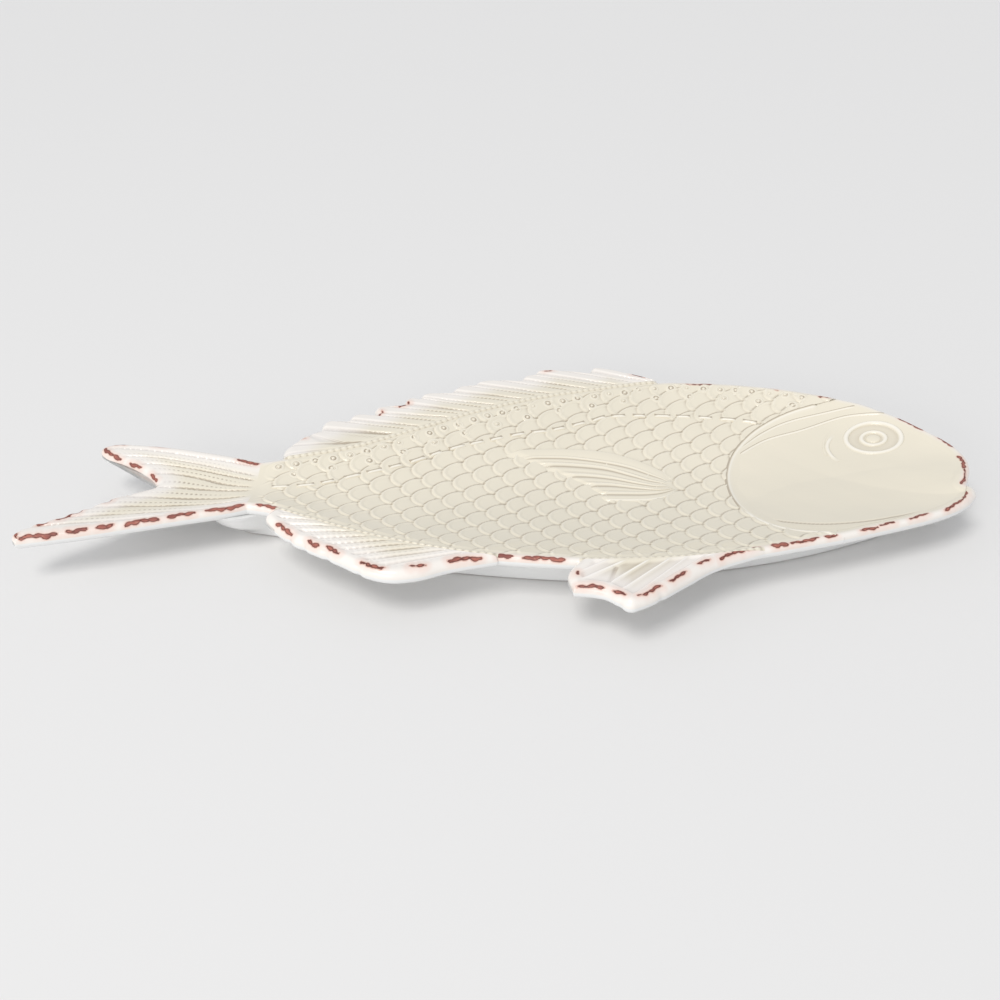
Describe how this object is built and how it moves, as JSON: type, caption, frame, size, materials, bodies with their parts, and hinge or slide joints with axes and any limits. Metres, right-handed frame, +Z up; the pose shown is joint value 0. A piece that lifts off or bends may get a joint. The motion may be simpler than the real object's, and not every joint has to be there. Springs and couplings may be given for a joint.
{
  "type": "fish shaped platter",
  "caption": "Fish shaped glazed stoneware serving platter with a shallow dished body, relief scales, ribbed fins and a low foot ring.",
  "frame": {"origin": "centre of the bounding box on the table, below the middle of the dish", "axes": "+X from the tail to the snout, +Y from the belly to the back, +Z up from the table"},
  "size_m": [0.5, 0.2566, 0.0288],
  "materials": {
    "glaze": "glossy warm white glaze, with the clay showing through in brown on the worn edges",
    "clay": "bare fired clay on the band that stands on the table"
  },
  "bodies": {
    "root": {"scaled_body": "glaze", "head": "glaze", "tail_fin": "glaze", "dorsal_fin": "glaze", "anal_fin": "glaze", "pelvic_fin": "glaze", "pectoral_fin": "glaze", "gill_ridge": "glaze", "cheek_ridges": "glaze", "eye_outer_ring": "glaze", "eye_inner_ring": "glaze", "pupil": "glaze", "brow_ridge": "glaze", "outer_pearls": "glaze", "inner_pearls": "glaze", "lateral_line": "glaze", "dorsal_root_ridge": "glaze", "belly_root_ridge": "glaze", "foot_wall": "glaze", "foot_ring": "clay"}
  },
  "joints": []
}
